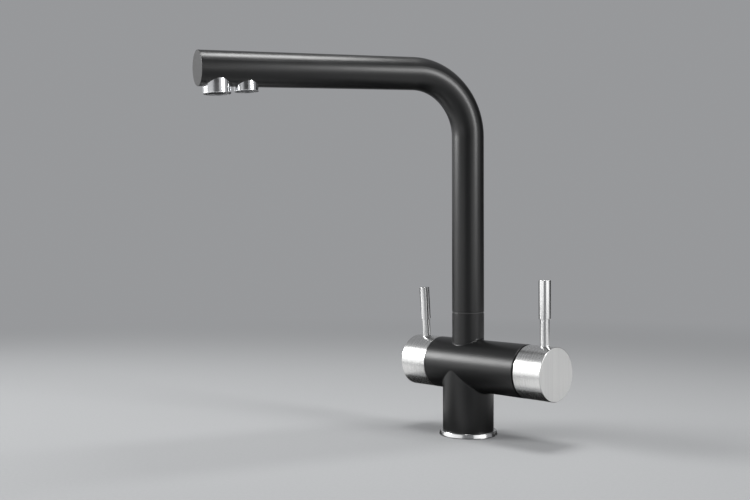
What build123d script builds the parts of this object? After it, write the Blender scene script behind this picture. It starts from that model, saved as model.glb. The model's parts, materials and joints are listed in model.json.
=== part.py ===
from build123d import *
import os
from math import cos, radians, sin

# Kitchen mixer tap with a mixing knob on the right, a filtered-water knob on the left and an
# L-shaped swivel spout. Millimetres, +Z up. The origin lies on the deck, on the riser axis.
# +X runs along the barrel towards the mixing knob, and -Y is the side of the user.

# Fits
fit = 0.05              # radial room between pieces that are screwed or pressed together
running = 0.10          # radial room of a turning shaft in its bore
clear = 0.30            # room between pieces that move past each other

# Spout
tube_dia = 28.0
tube_wall = 1.5
seam_height = 107.0     # swivel seam in the riser, above the deck
arm_height = 315.0      # arm axis above the deck, at the riser axis
arm_length = 242.0      # riser axis to the end face
arm_droop = 2.5         # degrees below the level, towards the tip
bend_radius = 52.0      # centre line
swivel_rest = 18.4      # degrees from the front towards the left
end_cap_thickness = 2.0
end_plug_length = 1.6

# Body
barrel_dia = 45.0
barrel_height = 61.0
barrel_right = 66.0     # riser axis to the mixer end of the barrel
barrel_left = 32.1      # riser axis to the filter end of the barrel
column_step = 0.5       # how much slimmer the column is than the barrel
neck_fillet = 1.4
column_fillet = 1.5
barrel_edge = 0.6

# Foot and deck fastening
ring_dia = 51.0
ring_height = 4.0
ring_slope = 0.9        # how far the side leans in over its height
ring_edge = 0.8
seal_width = 4.0
seal_depth = 2.0
shank_dia = 33.0
shank_wall = 2.5
shank_drop = 60.0       # below the deck
shank_grip = 16.0       # thread inside the column
shank_lead = 1.0        # chamfer that starts the nut
deck_thickness = 10.0
deck_washer_dia = 52.0
rubber_washer = 3.0
steel_washer = 2.0
nut_flats = 41.0
nut_height = 9.0
nut_chamfer = 2.0

# Inlets
inlet_block_height = 14.0
inlet_dia = 9.0         # core of an M10x1 thread
inlet_depth = 10.0
inlet_pitch_dia = 15.2
inlet_count = 3
waterway_dia = 5.0

# Swivel
bush_wall = 2.0
bush_length = 27.0
oring_section = 2.0
spigot_wall = 1.6       # under the ring grooves
spigot_floor = 3.85     # casting between the filter valve and the spigot
spigot_top_room = 3.0   # spigot above the bush
slip_ring = 0.7
slip_ring_set_back = 0.4
seam_edge = 0.3
grub_dia = 4.0
grub_dog_dia = 2.4
grub_set_back = 0.4

# Filter tube
filter_tube_dia = 8.0
filter_tube_wall = 1.0
filter_socket_length = 10.0
socket_floor = 3.0
socket_ports = 6
socket_port_dia = 1.8
elbow_dia = 11.0
elbow_grip = 7.0        # tube inside the elbow
elbow_wall = 5.0        # elbow past the outlet axis

# Outlets: place along the arm, diameter, and lowest edge below the arm axis
main_outlet_inset = 15.0  # outlet axis to the end face
outlet_spacing = 24.0
main_outlet_dia = 22.0
main_outlet_drop = 19.8
main_collar_height = 13.3
collar_ledge = 1.5
collar_wall = 1.4
outlet_edge = 0.3
aerator_set_back = 0.5
aerator_wall = 1.9
aerator_lip = 0.8
screen_thickness = 2.0
screen_cell = 1.5
screen_web = 0.5
screen_rings = 3
filter_outlet_dia = 19.5
filter_outlet_drop = 17.7
filter_collar_height = 9.7
filter_jet_height = 3.8
filter_jet_dia = 2.2
filter_jet_count = 6
rubber_ring = 1.0

# Knobs
knob_step = 0.2         # how much slimmer the knobs are than the barrel
knob_edge = 0.5
knob_rim_edge = 0.2
mixer_gap = 1.5
mixer_knob_length = 27.0
mixer_rim_wall = 0.9
mixer_recess = 10.0
mixer_boss_dia = 15.0
mixer_boss_length = 5.0
filter_gap = 0.4
filter_knob_length = 28.0
filter_rim_wall = 3.0
filter_recess = 10.5
knob_screw_dia = 4.0
knob_screw_length = 8.0

# Levers: place along the barrel, grip step and top above the barrel axis
mixer_lever_at = 83.1
mixer_lever_stem = 8.0
mixer_lever_grip = 10.0
mixer_lever_step = 44.6
mixer_lever_top = 76.6
filter_lever_at = 48.6
filter_lever_stem = 7.4
filter_lever_grip = 8.9
filter_lever_step = 37.6
filter_lever_top = 66.8
filter_lever_lean = 4.0  # degrees towards the front
lever_sink = 15.0        # stem inside the knob
lever_edge = 0.4

# Mixing cartridge
cartridge_dia = 35.0
cartridge_base_height = 6.5
cartridge_wall = 2.5
cartridge_front = 3.5
cartridge_nut_dia = 39.0
cartridge_nut_thread = 5.0
cartridge_nut_head = 3.5
cartridge_nut_flats = 32.0
cartridge_nut_bore = 25.0
disc_thickness = 3.5
disc_film = 0.05
mix_pocket_dia = 11.0
mix_pocket_depth = 2.0
mix_pocket_low = 1.5
mix_inlet_dia = 4.4
mix_inlet_side = 4.2
mix_inlet_up = 6.5
mix_outlet_dia = 5.2
mix_outlet_low = 3.0
port_seal_section = 1.6
pivot_depth = 20.0      # tilt axis inside the rim of the knob
tilt_limit = 20.0       # degrees
ball_reach = 9.2        # ball centre below the tilt axis
ball_dia = 6.0
ball_seat = 3.3         # ball centre above the moving disc
ball_neck_dia = 4.4
carrier_height = 3.2
rail_height = 1.5
rail_width = 10.0
rail_length = 16.0
guide_flange_height = 11.7
guide_neck_dia = 20.0
guide_neck_height = 5.8
spindle_side = 8.0
spindle_depth = 6.0     # spindle inside the knob, past its recess
pivot_pin_dia = 3.0
pivot_pin_length = 26.0

# Filter valve
valve_chamber_dia = 32.0
valve_chamber_depth = 8.1
valve_thread_dia = 18.3
valve_thread_length = 15.5
valve_wall = 2.2
valve_hex_flats = 22.0
valve_hex_height = 5.0
valve_neck_dia = 12.0
valve_neck_height = 8.0
valve_seal = 1.5
valve_disc = 2.5
valve_port_dia = 4.0
valve_port_out = 3.2
valve_flange = 4.0
valve_spindle_dia = 8.0
valve_square = 5.6
valve_square_depth = 9.0
valve_oring_section = 1.4
clip_thickness = 1.0
clip_dia = 12.0
clip_groove = 0.6

SEATED = (Align.CENTER, Align.CENTER, Align.MIN)

# Places worked out from the sizes
column_dia = barrel_dia - column_step
knob_dia = barrel_dia - knob_step
tube_bore = tube_dia - 2 * tube_wall
neck_top = seam_height - slip_ring / 2
spout_foot = seam_height + slip_ring / 2 + running
bush_dia = tube_bore - 2 * fit
bush_bore = bush_dia - 2 * bush_wall
spigot_dia = bush_bore - 2 * running
oring_groove_dia = spigot_dia - 2 * oring_section
spigot_bore = oring_groove_dia - 2 * spigot_wall
spigot_foot = barrel_height + valve_thread_dia / 2 + spigot_floor
bush_top = spout_foot + bush_length
spigot_top = bush_top + spigot_top_room
grub_height = spout_foot + bush_length / 2
oring_heights = [grub_height - bush_length / 3, grub_height + bush_length / 3]
shank_bore = shank_dia - 2 * shank_wall
shank_top = ring_height + shank_grip
inlet_top = shank_top + inlet_block_height
seal_mid_dia = (ring_dia + shank_dia) / 2
nut_corner_dia = nut_flats / cos(radians(30))
main_outlet_at = arm_length - main_outlet_inset
filter_outlet_at = main_outlet_at - outlet_spacing

# Planes: along the barrel to each side, along the arm, and down from the arm at each outlet
right_side = Plane(origin=(0, 0, barrel_height), x_dir=(0, 1, 0), z_dir=(1, 0, 0))
left_side = Plane(origin=(0, 0, barrel_height), x_dir=(0, -1, 0), z_dir=(-1, 0, 0))
lean_out = sin(radians(filter_lever_lean))
lean_up = cos(radians(filter_lever_lean))
filter_side = Plane(origin=left_side.origin, x_dir=(0, -lean_up, -lean_out), z_dir=(-1, 0, 0))
front_x = -sin(radians(swivel_rest))
front_y = -cos(radians(swivel_rest))
level = cos(radians(arm_droop))
fall = sin(radians(arm_droop))
arm_dir = Vector(front_x * level, front_y * level, -fall)
arm_down = Vector(-front_x * fall, -front_y * fall, -level)
elbow_corner = Vector(0, 0, arm_height)
arm = Plane(origin=elbow_corner, x_dir=arm_down, z_dir=arm_dir)
riser_back = Plane(origin=(0, 0, grub_height), x_dir=(0, 0, 1), z_dir=(-front_x, -front_y, 0))


def below_arm(distance):
    """The plane on the arm axis, at a distance along the arm, that faces down out of the tube."""
    return Plane(origin=elbow_corner + arm_dir * distance, x_dir=arm_dir, z_dir=arm_down)


def upright(along, lean=0.0):
    """The plane on the barrel axis that a lever stands on, leaning towards the front."""
    up = (0, -sin(radians(lean)), cos(radians(lean)))
    return Plane(origin=(along, 0, barrel_height), x_dir=(1, 0, 0), z_dir=up)


main_down = below_arm(main_outlet_at)
filter_down = below_arm(filter_outlet_at)
mixer_upright = upright(mixer_lever_at)
filter_upright = upright(-filter_lever_at, filter_lever_lean)
mixer_under = Plane(origin=mixer_upright.origin, x_dir=(1, 0, 0), z_dir=-mixer_upright.z_dir)
filter_under = Plane(origin=filter_upright.origin, x_dir=(1, 0, 0), z_dir=-filter_upright.z_dir)

# Stations along the mixer side, outwards from the riser axis
mixer_rim = barrel_right + mixer_gap
mixer_end = mixer_rim + mixer_knob_length
mixer_floor = mixer_rim + mixer_recess
mixer_pivot = mixer_rim - pivot_depth
ball_at = mixer_pivot - ball_reach
moving_disc_top = ball_at - ball_seat
fixed_disc_top = moving_disc_top - disc_thickness
fixed_disc_foot = fixed_disc_top - disc_thickness
cartridge_floor = fixed_disc_foot - cartridge_base_height
carrier_top = moving_disc_top + carrier_height
guide_foot = carrier_top + clear
guide_shoulder = guide_foot + guide_flange_height
guide_end = guide_shoulder + guide_neck_height
housing_wall = guide_shoulder + clear
housing_end = housing_wall + cartridge_front
housing_bore = cartridge_dia - 2 * cartridge_wall
spindle_end = mixer_floor + spindle_depth
disc_travel = ball_reach * sin(radians(tilt_limit))
moving_disc_dia = housing_bore - 2 * (disc_travel + clear)

# Stations along the filter side, outwards from the riser axis
filter_rim = barrel_left + filter_gap
filter_end = filter_rim + filter_knob_length
filter_floor = filter_rim + filter_recess
valve_seat = barrel_left - valve_chamber_depth
valve_foot = valve_seat - valve_thread_length
valve_bore = valve_thread_dia - 2 * valve_wall
valve_fixed_foot = valve_foot + valve_seal
valve_fixed_top = valve_fixed_foot + valve_disc
valve_moving_top = valve_fixed_top + valve_disc
valve_flange_top = valve_moving_top + valve_flange
valve_hex_top = valve_seat + valve_hex_height
valve_neck_top = valve_hex_top + valve_neck_height
clip_foot = valve_neck_top + clear
clip_top = clip_foot + clip_thickness
valve_oring_at = (valve_seat + valve_hex_top) / 2


def rod(dia, start, end, plane=Plane.XY, mode=Mode.ADD):
    """A round bar of the active part, square to a plane, between two distances from it."""
    with Locations(plane.offset(start)):
        Cylinder(dia / 2, end - start, align=SEATED, mode=mode)


def bore(dia, start, end, plane=Plane.XY):
    """A round hole of the active part, square to a plane, between two distances from it."""
    rod(dia, start, end, plane, Mode.SUBTRACT)


def hexagon(flats, start, end, plane=Plane.XY, mode=Mode.ADD):
    """A hexagonal bar of the active part, square to a plane, by its width across flats."""
    with BuildSketch(plane.offset(start)) as outline:
        RegularPolygon(flats / 2, 6, major_radius=False)
    extrude(outline.sketch, amount=end - start, mode=mode)


def seal_ring(mean_dia, section, at, plane=Plane.XY):
    """A round-section sealing ring of the active part, centred at a distance from a plane."""
    with Locations(plane.offset(at)):
        Torus(mean_dia / 2, section / 2)


def rim(part, plane, at):
    """The widest round edge of the active part at a distance from a plane."""
    level_edges = part.edges().filter_by(GeomType.CIRCLE).filter_by_position(
        Axis(plane.origin, plane.z_dir), at - fit, at + fit
    )
    return level_edges.sort_by(SortBy.RADIUS)[-1]


def set_screw(dia, tip, head, plane):
    """A headless screw of the active part, with a hexagon socket in its outer end."""
    rod(dia, tip, head, plane)
    hexagon(dia / 2, head - dia / 2, head, plane, Mode.SUBTRACT)


# Foot ring, with a rubber seal let into its underside
with BuildPart() as base_ring:
    Cone(ring_dia / 2, ring_dia / 2 - ring_slope, ring_height, align=SEATED)
    fillet(rim(base_ring, Plane.XY, ring_height), ring_edge)
    bore(seal_mid_dia + seal_width, 0, seal_depth)
    rod(seal_mid_dia - seal_width, 0, seal_depth)
    bore(shank_dia + 2 * fit, 0, ring_height)

with BuildPart() as base_seal:
    rod(seal_mid_dia + seal_width - 2 * fit, 0, seal_depth - fit)
    bore(seal_mid_dia - seal_width + 2 * fit, 0, seal_depth)

# Deck fastening: hollow shank, two washers and a nut
under_deck = -deck_thickness - rubber_washer
nut_top = under_deck - steel_washer

with BuildPart() as mounting_shank:
    rod(shank_dia, -shank_drop, shank_top)
    chamfer(rim(mounting_shank, Plane.XY, -shank_drop), shank_lead)
    bore(shank_bore, -shank_drop, shank_top)

with BuildPart() as deck_seal_washer:
    rod(deck_washer_dia, under_deck, -deck_thickness)
    bore(shank_dia + 2 * fit, under_deck, -deck_thickness)

with BuildPart() as deck_clamp_washer:
    rod(deck_washer_dia, nut_top, under_deck)
    bore(shank_dia + 2 * fit, nut_top, under_deck)

with BuildPart() as mounting_nut:
    rod(nut_corner_dia, nut_top - nut_height, nut_top)
    chamfer(mounting_nut.edges().filter_by(GeomType.CIRCLE), nut_chamfer)
    hexagon(nut_flats, nut_top - nut_height, nut_top, mode=Mode.INTERSECT)
    bore(shank_dia + 2 * fit, nut_top - nut_height, nut_top)

# Inlet block, clamped above the shank, with the hose threads and their waterways
with BuildPart() as inlet_block:
    rod(shank_dia, shank_top, inlet_top)
    with Locations(Plane.XY.offset(shank_top)):
        with PolarLocations(inlet_pitch_dia / 2, inlet_count, start_angle=90):
            Cylinder(inlet_dia / 2, inlet_depth, align=SEATED, mode=Mode.SUBTRACT)
            Cylinder(waterway_dia / 2, inlet_block_height, align=SEATED, mode=Mode.SUBTRACT)

# Casting: column, barrel and neck, then the chambers for what it holds
with BuildPart() as body_casting:
    rod(column_dia, ring_height, barrel_height)
    rod(barrel_dia, -barrel_left, barrel_right, right_side)
    fillet(body_casting.edges().filter_by(GeomType.BSPLINE), column_fillet)
    fillet(rim(body_casting, right_side, barrel_right), barrel_edge)
    fillet(rim(body_casting, left_side, barrel_left), barrel_edge)
    rod(tube_dia, barrel_height, neck_top)
    fillet(body_casting.edges().filter_by(GeomType.BSPLINE).sort_by(Axis.Z)[-1], neck_fillet)
    fillet(rim(body_casting, Plane.XY, neck_top), seam_edge)
    bore(shank_dia + 2 * fit, ring_height, inlet_top)
    bore(spigot_dia + 2 * fit, spigot_foot, neck_top)
    bore(cartridge_dia + 2 * fit, cartridge_floor, housing_end, right_side)
    bore(cartridge_nut_dia + 2 * fit, housing_end, barrel_right, right_side)
    bore(valve_thread_dia + 2 * fit, valve_foot, valve_seat, left_side)
    bore(valve_chamber_dia, valve_seat, barrel_left, left_side)

# Swivel: spigot in the neck, sealing rings, slip ring and the socket of the filter tube
with BuildPart() as swivel_spigot:
    rod(spigot_dia, spigot_foot, spigot_top)
    for ring_height_at in oring_heights:
        foot = ring_height_at - oring_section / 2 - fit
        bore(spigot_dia, foot, foot + oring_section + 2 * fit)
        rod(oring_groove_dia - 2 * fit, foot, foot + oring_section + 2 * fit)
    groove_foot = grub_height - grub_dog_dia / 2 - clear
    groove_top = grub_height + grub_dog_dia / 2 + clear
    bore(spigot_dia, groove_foot, groove_top)
    rod(oring_groove_dia, groove_foot, groove_top)
    bore(spigot_bore, spigot_foot, spigot_top)

with BuildPart() as swivel_orings:
    for ring_height_at in oring_heights:
        seal_ring(oring_groove_dia + oring_section, oring_section, ring_height_at)

with BuildPart() as swivel_slip_ring:
    rod(tube_dia - 2 * slip_ring_set_back, neck_top, neck_top + slip_ring)
    bore(spigot_dia + 2 * fit, neck_top, neck_top + slip_ring)

with BuildPart() as filter_tube_socket:
    rod(spigot_bore - 2 * fit, spigot_foot, spigot_foot + filter_socket_length)
    bore(filter_tube_dia + 2 * running, spigot_foot + socket_floor, spigot_foot + filter_socket_length)
    bore(filter_tube_dia - 2 * filter_tube_wall, spigot_foot, spigot_foot + filter_socket_length)
    with Locations(Plane.XY.offset(spigot_foot)):
        with PolarLocations((spigot_bore + filter_tube_dia) / 4, socket_ports):
            Cylinder(socket_port_dia / 2, filter_socket_length, align=SEATED, mode=Mode.SUBTRACT)

# Spout tube: riser, bend and arm, with a hole for each outlet and for the retaining screw
with BuildLine() as spout_path:
    FilletPolyline(
        (0, 0, spout_foot),
        elbow_corner,
        elbow_corner + arm_dir * (arm_length - end_cap_thickness),
        radius=bend_radius,
    )

with BuildPart() as spout_tube:
    with BuildSketch(Plane.XY.offset(spout_foot)):
        Circle(tube_dia / 2)
        Circle(tube_bore / 2, mode=Mode.SUBTRACT)
    sweep(path=spout_path.wires()[0])
    fillet(rim(spout_tube, Plane.XY, spout_foot), seam_edge)
    bore(main_outlet_dia + 2 * fit, 0, tube_dia, main_down)
    bore(filter_outlet_dia + 2 * fit, 0, tube_dia, filter_down)
    bore(grub_dia + 2 * fit, 0, tube_dia, riser_back)

with BuildPart() as spout_end_cap:
    rod(tube_dia, arm_length - end_cap_thickness, arm_length, arm)
    fillet(rim(spout_end_cap, arm, arm_length), outlet_edge)
    rod(tube_bore - 2 * fit, arm_length - end_cap_thickness - end_plug_length, arm_length, arm)

with BuildPart() as spout_bush:
    rod(bush_dia, spout_foot, bush_top)
    bore(bush_bore, spout_foot, bush_top)
    bore(grub_dia + 2 * fit, 0, tube_dia, riser_back)

with BuildPart() as spout_grub_screw:
    set_screw(grub_dia, bush_bore / 2, tube_dia / 2 - grub_set_back, riser_back)
    rod(grub_dog_dia, oring_groove_dia / 2 + clear, bush_bore / 2, riser_back)

# Inner tube for the filtered water, from its rotary socket to the elbow over the small outlet
tube_seat = spigot_foot + socket_floor + clear
elbow_start = filter_outlet_at - elbow_dia / 2 - elbow_grip

with BuildLine() as filter_path:
    FilletPolyline(
        (0, 0, tube_seat),
        elbow_corner,
        elbow_corner + arm_dir * (elbow_start + elbow_grip),
        radius=bend_radius,
    )

with BuildPart() as filter_water_tube:
    with BuildSketch(Plane.XY.offset(tube_seat)):
        Circle(filter_tube_dia / 2)
        Circle(filter_tube_dia / 2 - filter_tube_wall, mode=Mode.SUBTRACT)
    sweep(path=filter_path.wires()[0])

filter_collar_top = filter_outlet_drop - filter_collar_height
filter_jet_top = filter_outlet_drop - aerator_set_back - filter_jet_height
filter_bore = filter_outlet_dia - 2 * collar_wall
elbow_stub_end = filter_jet_top - rubber_ring
water_dia = filter_tube_dia - 2 * filter_tube_wall

with BuildPart() as filter_tube_elbow:
    rod(elbow_dia, elbow_start, filter_outlet_at + elbow_wall, arm)
    rod(elbow_dia, 0, elbow_stub_end, filter_down)
    bore(filter_tube_dia + 2 * fit, elbow_start, elbow_start + elbow_grip, arm)
    bore(water_dia, elbow_start, filter_outlet_at, arm)
    bore(water_dia, 0, elbow_stub_end, filter_down)

# Small outlet: collar, rubber ring and jet insert
with BuildPart() as filter_outlet_collar:
    rod(filter_outlet_dia, filter_collar_top, filter_outlet_drop, filter_down)
    fillet(rim(filter_outlet_collar, filter_down, filter_outlet_drop), outlet_edge)
    bore(elbow_dia + 2 * fit, filter_collar_top, filter_outlet_drop, filter_down)
    bore(filter_bore, elbow_stub_end, filter_outlet_drop, filter_down)

with BuildPart() as filter_outlet_seal:
    rod(filter_bore - 2 * fit, elbow_stub_end, filter_jet_top, filter_down)
    bore(water_dia, elbow_stub_end, filter_jet_top, filter_down)

with BuildPart() as filter_outlet_insert:
    rod(filter_bore - 2 * fit, filter_jet_top, filter_jet_top + filter_jet_height, filter_down)
    bore(filter_jet_dia, filter_jet_top, filter_jet_top + filter_jet_height, filter_down)
    with Locations(filter_down.offset(filter_jet_top)):
        with PolarLocations(filter_bore / 4, filter_jet_count):
            Cylinder(filter_jet_dia / 2, filter_jet_height, align=SEATED, mode=Mode.SUBTRACT)

# Main outlet: collar with a ledge, rubber washer, aerator shell and honeycomb screen
main_collar_top = main_outlet_drop - main_collar_height
main_bore = main_outlet_dia - 2 * collar_wall
washer_top = main_collar_top + collar_ledge
aerator_top = washer_top + rubber_ring
aerator_foot = main_outlet_drop - aerator_set_back
aerator_dia = main_bore - 2 * fit
screen_dia = aerator_dia - 2 * aerator_wall
screen_foot = aerator_foot - aerator_lip

with BuildPart() as main_outlet_collar:
    rod(main_outlet_dia, main_collar_top, main_outlet_drop, main_down)
    fillet(rim(main_outlet_collar, main_down, main_outlet_drop), outlet_edge)
    bore(screen_dia, main_collar_top, main_outlet_drop, main_down)
    bore(main_bore, washer_top, main_outlet_drop, main_down)

with BuildPart() as aerator_washer:
    rod(aerator_dia, washer_top, aerator_top, main_down)
    bore(screen_dia, washer_top, aerator_top, main_down)

with BuildPart() as aerator_housing:
    rod(aerator_dia, aerator_top, aerator_foot, main_down)
    bore(screen_dia, aerator_top, screen_foot, main_down)
    bore(screen_dia - 2 * aerator_lip, screen_foot, aerator_foot, main_down)

cell_pitch = screen_cell + screen_web
cell_rows = 2 * screen_rings + 1

with BuildPart() as aerator_screen:
    rod(screen_dia - 2 * fit, screen_foot - screen_thickness, screen_foot, main_down)
    with BuildSketch(main_down.offset(screen_foot - screen_thickness)):
        with HexLocations(cell_pitch / 2, cell_rows, cell_rows):
            RegularPolygon(screen_cell / 2, 6, major_radius=False, rotation=30)
        Circle(screen_dia / 2 - 2 * aerator_lip, mode=Mode.INTERSECT)
    extrude(amount=screen_thickness, mode=Mode.SUBTRACT)

# Mixing cartridge, the part that stays put: base with port seals, ceramic disc, housing and nut
port_places = [
    (mix_inlet_side, mix_inlet_up),
    (-mix_inlet_side, mix_inlet_up),
    (0, -mix_outlet_low),
]
port_dias = [mix_inlet_dia, mix_inlet_dia, mix_outlet_dia]
port_seal_dias = [dia + port_seal_section + 2 * fit for dia in port_dias]


def ports(start, end):
    """The three waterways of the cartridge, cut through the active part."""
    with Locations(right_side.offset(start)):
        for place, dia in zip(port_places, port_dias):
            with Locations(place):
                Cylinder(dia / 2, end - start, align=SEATED, mode=Mode.SUBTRACT)


with BuildPart() as cartridge_base:
    rod(cartridge_dia, cartridge_floor, fixed_disc_foot, right_side)
    ports(cartridge_floor, fixed_disc_foot)
    with Locations(right_side.offset(cartridge_floor)):
        for place, dia in zip(port_places, port_seal_dias):
            with Locations(place):
                groove_dia = dia + port_seal_section + 2 * fit
                Cylinder(groove_dia / 2, port_seal_section, align=SEATED, mode=Mode.SUBTRACT)

with BuildPart() as cartridge_seals:
    with Locations(right_side.offset(cartridge_floor + port_seal_section / 2)):
        for place, dia in zip(port_places, port_seal_dias):
            with Locations(place):
                Torus(dia / 2, port_seal_section / 2 - fit)

with BuildPart() as fixed_mixing_disc:
    rod(housing_bore - 2 * fit, fixed_disc_foot, fixed_disc_top - disc_film, right_side)
    ports(fixed_disc_foot, fixed_disc_top)

with BuildPart() as cartridge_housing:
    rod(cartridge_dia, fixed_disc_foot, housing_end, right_side)
    bore(housing_bore, fixed_disc_foot, housing_wall, right_side)
    bore(guide_neck_dia + 2 * running, housing_wall, housing_end, right_side)

with BuildPart() as cartridge_nut:
    rod(cartridge_nut_dia, housing_end, housing_end + cartridge_nut_thread, right_side)
    nut_shoulder = housing_end + cartridge_nut_thread
    hexagon(cartridge_nut_flats, nut_shoulder, nut_shoulder + cartridge_nut_head, right_side)
    bore(cartridge_nut_bore, housing_end, nut_shoulder + cartridge_nut_head, right_side)

# Mixing cartridge, the sliding part: ceramic disc with its pocket, and the carrier with its rail
with BuildPart() as moving_mixing_disc:
    rod(moving_disc_dia, fixed_disc_top, moving_disc_top, right_side)
    with Locations(right_side.offset(fixed_disc_top)):
        with Locations((0, -mix_pocket_low)):
            Cylinder(mix_pocket_dia / 2, mix_pocket_depth, align=SEATED, mode=Mode.SUBTRACT)

with BuildPart() as disc_carrier:
    rod(moving_disc_dia, moving_disc_top, carrier_top, right_side)
    with Locations(right_side.offset(carrier_top)):
        Box(rail_width, rail_length, rail_height, align=SEATED)
    bore(ball_dia + 2 * running, moving_disc_top, carrier_top + rail_height, right_side)

# Mixing cartridge, the turning part: guide with the rail slot and room for the tilt, and its pin
slot_width = spindle_side + 2 * running
slot_half = spindle_side / 2 + clear
slot_swing = (guide_end - mixer_pivot) * sin(radians(tilt_limit)) + clear
rail_slot_height = rail_height + clear - (guide_foot - carrier_top)

with BuildPart() as spindle_guide:
    rod(housing_bore - 2 * running, guide_foot, guide_shoulder, right_side)
    rod(guide_neck_dia, guide_shoulder, guide_end, right_side)
    with Locations(right_side.offset(guide_foot)):
        Box(rail_width + 2 * running, cartridge_dia, rail_slot_height, align=SEATED, mode=Mode.SUBTRACT)
        with Locations((0, slot_swing / 2)):
            slot_inner = mixer_pivot - guide_foot
            Box(slot_width, 2 * slot_half + slot_swing, slot_inner, align=SEATED, mode=Mode.SUBTRACT)
    with Locations(right_side.offset(mixer_pivot)):
        with Locations((0, -slot_swing / 2)):
            slot_outer = guide_end - mixer_pivot
            Box(slot_width, 2 * slot_half + slot_swing, slot_outer, align=SEATED, mode=Mode.SUBTRACT)
    with Locations(Plane(origin=(mixer_pivot, 0, barrel_height), z_dir=(0, 1, 0))):
        Cylinder(pivot_pin_dia / 2 + fit, pivot_pin_length, mode=Mode.SUBTRACT)

with BuildPart() as spindle_pin:
    with Locations(Plane(origin=(mixer_pivot, 0, barrel_height), z_dir=(0, 1, 0))):
        Cylinder(pivot_pin_dia / 2, pivot_pin_length - 2 * fit)

# Mixing handle: spindle with its ball end, knob, lever and set screw
ball_shoulder = ball_at + ball_dia / 2

with BuildPart() as cartridge_spindle:
    with Locations(right_side.offset(ball_at)):
        Sphere(ball_dia / 2)
    rod(ball_neck_dia, ball_at, ball_shoulder, right_side)
    with Locations(right_side.offset(ball_shoulder)):
        Box(spindle_side, spindle_side, spindle_end - ball_shoulder, align=SEATED)
    with Locations(Plane(origin=(mixer_pivot, 0, barrel_height), z_dir=(0, 1, 0))):
        Cylinder(pivot_pin_dia / 2 + fit, 2 * spindle_side, mode=Mode.SUBTRACT)

mixer_boss_foot = mixer_floor - mixer_boss_length
mixer_lever_foot = knob_dia / 2 - lever_sink

with BuildPart() as mixer_knob:
    rod(knob_dia, mixer_rim, mixer_end, right_side)
    fillet(rim(mixer_knob, right_side, mixer_end), knob_edge)
    fillet(rim(mixer_knob, right_side, mixer_rim), knob_rim_edge)
    bore(knob_dia - 2 * mixer_rim_wall, mixer_rim, mixer_floor, right_side)
    rod(mixer_boss_dia, mixer_boss_foot, mixer_floor, right_side)
    with Locations(right_side.offset(mixer_boss_foot)):
        socket_side = spindle_side + 2 * fit
        socket_depth = spindle_end + clear - mixer_boss_foot
        Box(socket_side, socket_side, socket_depth, align=SEATED, mode=Mode.SUBTRACT)
    bore(mixer_lever_stem + 2 * fit, mixer_lever_foot, knob_dia, mixer_upright)
    bore(knob_screw_dia + 2 * fit, 0, knob_dia, mixer_under)

with BuildPart() as mixer_lever:
    rod(mixer_lever_stem, mixer_lever_foot + fit, mixer_lever_step, mixer_upright)
    rod(mixer_lever_grip, mixer_lever_step, mixer_lever_top, mixer_upright)
    fillet(rim(mixer_lever, mixer_upright, mixer_lever_top), lever_edge)
    fillet(rim(mixer_lever, mixer_upright, mixer_lever_step), lever_edge)

with BuildPart() as mixer_knob_screw:
    mixer_screw_tip = spindle_side / 2 + fit
    set_screw(knob_screw_dia, mixer_screw_tip, mixer_screw_tip + knob_screw_length, mixer_under)

# Filter valve, the part that stays put: headwork, rubber ring and ceramic disc
with BuildPart() as filter_valve_body:
    rod(valve_thread_dia, valve_foot, valve_seat, left_side)
    hexagon(valve_hex_flats, valve_seat, valve_hex_top, left_side)
    rod(valve_neck_dia, valve_hex_top, valve_neck_top, left_side)
    bore(valve_bore, valve_foot, valve_flange_top + clear, left_side)
    bore(valve_spindle_dia + 2 * running, valve_foot, valve_neck_top, left_side)

with BuildPart() as filter_valve_seal:
    rod(valve_bore - 2 * fit, valve_foot, valve_fixed_foot, left_side)
    bore(valve_bore - 2 * valve_wall, valve_foot, valve_fixed_foot, left_side)


def valve_ports(start, end):
    """The two opposite waterways of a filter valve disc, cut through the active part."""
    with Locations(left_side.offset(start)):
        with PolarLocations(valve_port_out, 2, start_angle=90):
            Cylinder(valve_port_dia / 2, end - start, align=SEATED, mode=Mode.SUBTRACT)


with BuildPart() as filter_fixed_disc:
    rod(valve_bore - 2 * fit, valve_fixed_foot, valve_fixed_top - disc_film, left_side)
    valve_ports(valve_fixed_foot, valve_fixed_top)

# Filter handle: moving disc, spindle with its seal and clip, knob, lever and set screw
with BuildPart() as filter_moving_disc:
    rod(valve_bore - 2 * running, valve_fixed_top, valve_moving_top, filter_side)
    with Locations(filter_side.offset(valve_fixed_top)):
        with PolarLocations(valve_port_out, 2, start_angle=0):
            Cylinder(valve_port_dia / 2, valve_disc, align=SEATED, mode=Mode.SUBTRACT)

valve_square_foot = filter_floor - clear
valve_spindle_end = filter_floor + valve_square_depth

with BuildPart() as filter_spindle:
    rod(valve_bore - 2 * running, valve_moving_top, valve_flange_top, filter_side)
    rod(valve_spindle_dia, valve_flange_top, valve_square_foot, filter_side)
    with Locations(filter_side.offset(valve_square_foot)):
        Box(valve_square, valve_square, valve_spindle_end - valve_square_foot, align=SEATED)
    valve_groove = valve_oring_section + 2 * fit
    groove_foot = valve_oring_at - valve_groove / 2
    bore(valve_spindle_dia, groove_foot, groove_foot + valve_groove, filter_side)
    rod(valve_spindle_dia - 2 * valve_groove, groove_foot, groove_foot + valve_groove, filter_side)
    bore(valve_spindle_dia, clip_foot, clip_top, filter_side)
    rod(valve_spindle_dia - 2 * clip_groove, clip_foot, clip_top, filter_side)

with BuildPart() as filter_spindle_oring:
    seal_ring(valve_spindle_dia - valve_oring_section, valve_oring_section, valve_oring_at, filter_side)

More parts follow.
